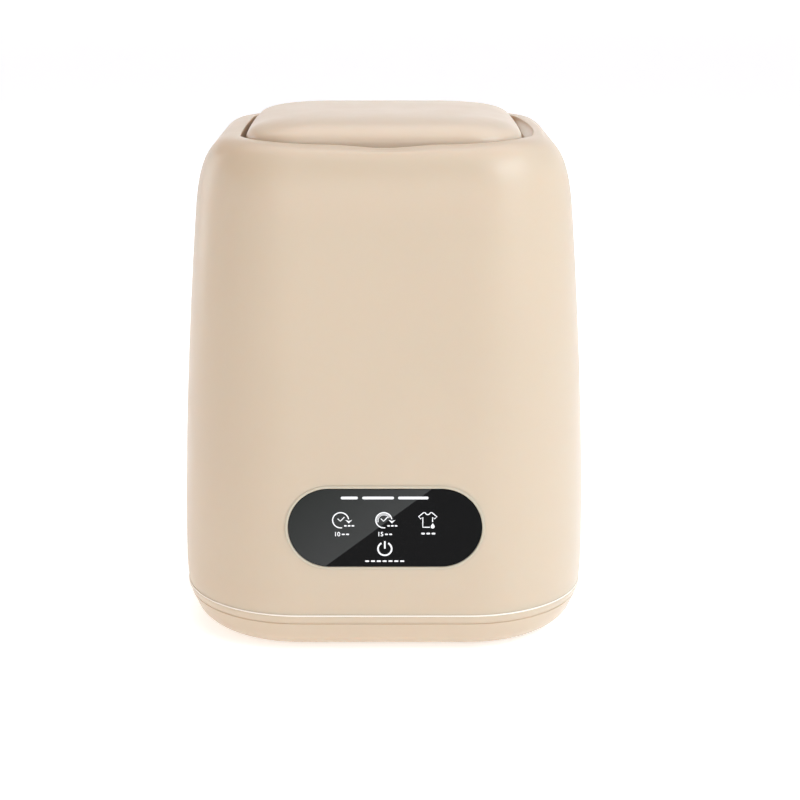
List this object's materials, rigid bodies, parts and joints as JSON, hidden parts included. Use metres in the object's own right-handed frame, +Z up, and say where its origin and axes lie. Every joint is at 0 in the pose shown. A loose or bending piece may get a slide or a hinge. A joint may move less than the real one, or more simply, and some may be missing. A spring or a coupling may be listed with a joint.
{
  "type": "portable mini washer",
  "caption": "Small top-loading washing machine: rounded square casing, rear-hinged lid, touch panel, pulsator with spin basket, belt drive and solenoid drain.",
  "frame": {"origin": "centre of the casing on the surface that the feet stand on", "axes": "+Z up, the touch panel faces -Y, +X to the right seen from the front"},
  "size_m": [0.26, 0.26, 0.3285],
  "materials": {
    "casing_plastic": "satin",
    "inner_plastic": "satin",
    "rubber_grey": "matte",
    "zinc_steel": "zinc plated",
    "ground_steel": "ground",
    "pulsator_plastic": "satin gloss",
    "ring_plastic": "satin gloss",
    "cast_alloy": "cast",
    "black_plastic": "moulded",
    "motor_steel": "satin",
    "valve_plastic": "moulded",
    "hose_plastic": "soft",
    "contact_brass": "plated",
    "board_laminate": "solder mask",
    "panel_gloss": "gloss",
    "led_resin": "gloss",
    "lead_jacket": "soft"
  },
  "bodies": {
    "casing": {"outer_shell": "casing_plastic", "base_pan": "casing_plastic", "rubber_feet": "rubber_grey", "base_screws": "zinc_steel", "lid_switch": "black_plastic", "hinge_brackets": "zinc_steel", "hinge_pins": "ground_steel", "hinge_screws": "zinc_steel", "wash_tub": "inner_plastic", "tub_gasket": "rubber_grey", "tub_screws": "zinc_steel", "shaft_seal": "rubber_grey", "upper_bearing": "ground_steel", "lower_bearing": "ground_steel", "bearing_housing": "cast_alloy", "housing_bolts": "zinc_steel", "drive_belt": "rubber_grey", "motor_can": "motor_steel", "motor_bolts": "zinc_steel", "drive_plate": "zinc_steel", "plate_bolts": "zinc_steel", "drain_valve": "valve_plastic", "drain_spring": "zinc_steel", "drain_solenoid": "black_plastic", "drain_hose": "hose_plastic", "hose_clamps": "zinc_steel", "drain_spout": "valve_plastic", "dc_jack": "black_plastic", "dc_pin": "contact_brass", "jack_nut": "zinc_steel", "driver_board": "board_laminate", "driver_parts": "black_plastic", "board_screws": "zinc_steel", "panel_lens": "panel_gloss", "panel_holder": "black_plastic", "control_board": "board_laminate", "touch_springs": "contact_brass", "indicator_leds": "led_resin", "buzzer": "black_plastic", "panel_cable": "lead_jacket", "motor_cable": "lead_jacket", "power_lead": "lead_jacket", "lid_switch_lead": "lead_jacket"},
    "lid": {"lid_cap": "casing_plastic", "lid_liner": "inner_plastic", "lid_seal": "rubber_grey", "lid_screws": "zinc_steel", "lid_magnet": "zinc_steel"},
    "spinner": {"pulsator": "pulsator_plastic", "pulsator_screw": "zinc_steel", "pulsator_cap": "pulsator_plastic", "spin_basket": "inner_plastic", "balance_ring": "ring_plastic", "drive_shaft": "ground_steel", "driven_pulley": "black_plastic", "pulley_nut": "zinc_steel"},
    "motor_rotor": {"motor_pulley": "black_plastic", "motor_shaft": "ground_steel"},
    "plunger": {"drain_plunger": "ground_steel", "plunger_seal": "rubber_grey"}
  },
  "joints": [
    {"name": "lid_hinge", "type": "hinge", "parent": "casing", "child": "lid", "pos_m": [0, 0.085, 0.318], "axis": [-1, 0, 0], "range_deg": [0, 95]},
    {"name": "spinner_spin", "type": "hinge", "parent": "casing", "child": "spinner", "pos_m": [0, 0, 0.1], "axis": [0, 0, 1], "continuous": true},
    {"name": "motor_spin", "type": "hinge", "parent": "casing", "child": "motor_rotor", "pos_m": [-0.055, 0.055, 0.06], "axis": [0, 0, 1], "continuous": true},
    {"name": "drain_slide", "type": "slide", "parent": "casing", "child": "plunger", "axis": [0, 0, -1], "range_m": [0, 0.005], "stiffness_N_per_m": 200, "deforming": ["drain_spring"]}
  ],
  "couplings": [
    {"joint": "motor_spin", "follows": "spinner_spin", "ratio": 4.3}
  ]
}
